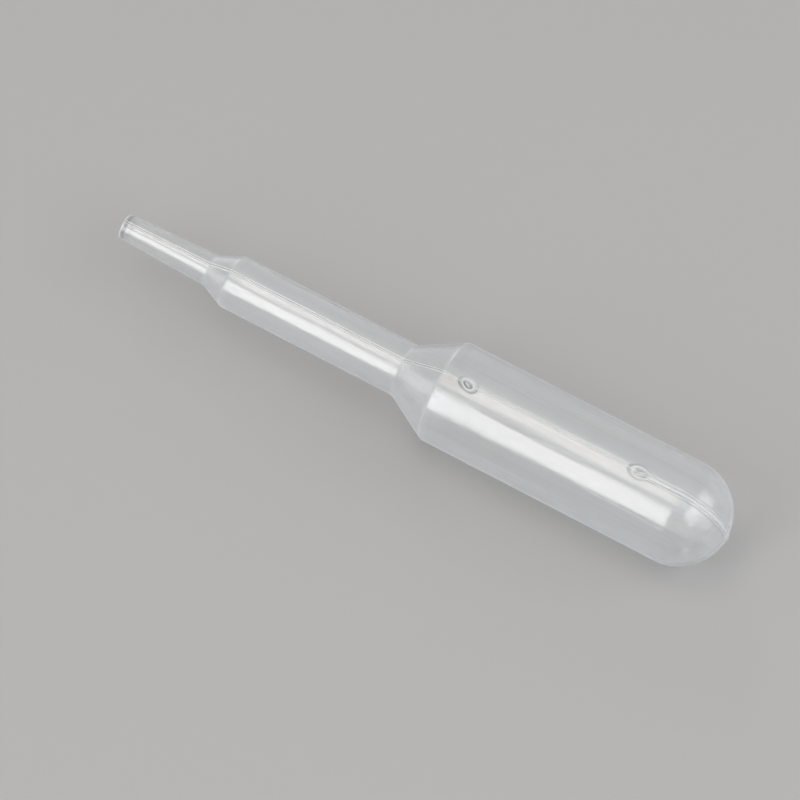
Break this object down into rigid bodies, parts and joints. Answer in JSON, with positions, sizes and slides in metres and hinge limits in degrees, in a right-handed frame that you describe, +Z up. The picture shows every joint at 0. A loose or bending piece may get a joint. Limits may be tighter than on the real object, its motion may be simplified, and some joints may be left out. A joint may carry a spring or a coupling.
{
  "type": "plastic dropper pipette",
  "caption": "Squeezable one-piece dropper pipette: narrow open tip, straight stem, long bulb with a domed end.",
  "frame": {"origin": "middle of the bottom of the bounding box, on the table that the pipette lies on", "axes": "+X along the axis from the open tip to the closed dome, +Z up, +Y to the left of someone looking along +X"},
  "size_m": [0.0756, 0.0118, 0.0118],
  "materials": {
    "soft_plastic": "natural low-density polyethylene, milky and see-through, softly glossy from a polished mould"
  },
  "bodies": {
    "root": {"pipette_body": "soft_plastic"}
  },
  "joints": []
}
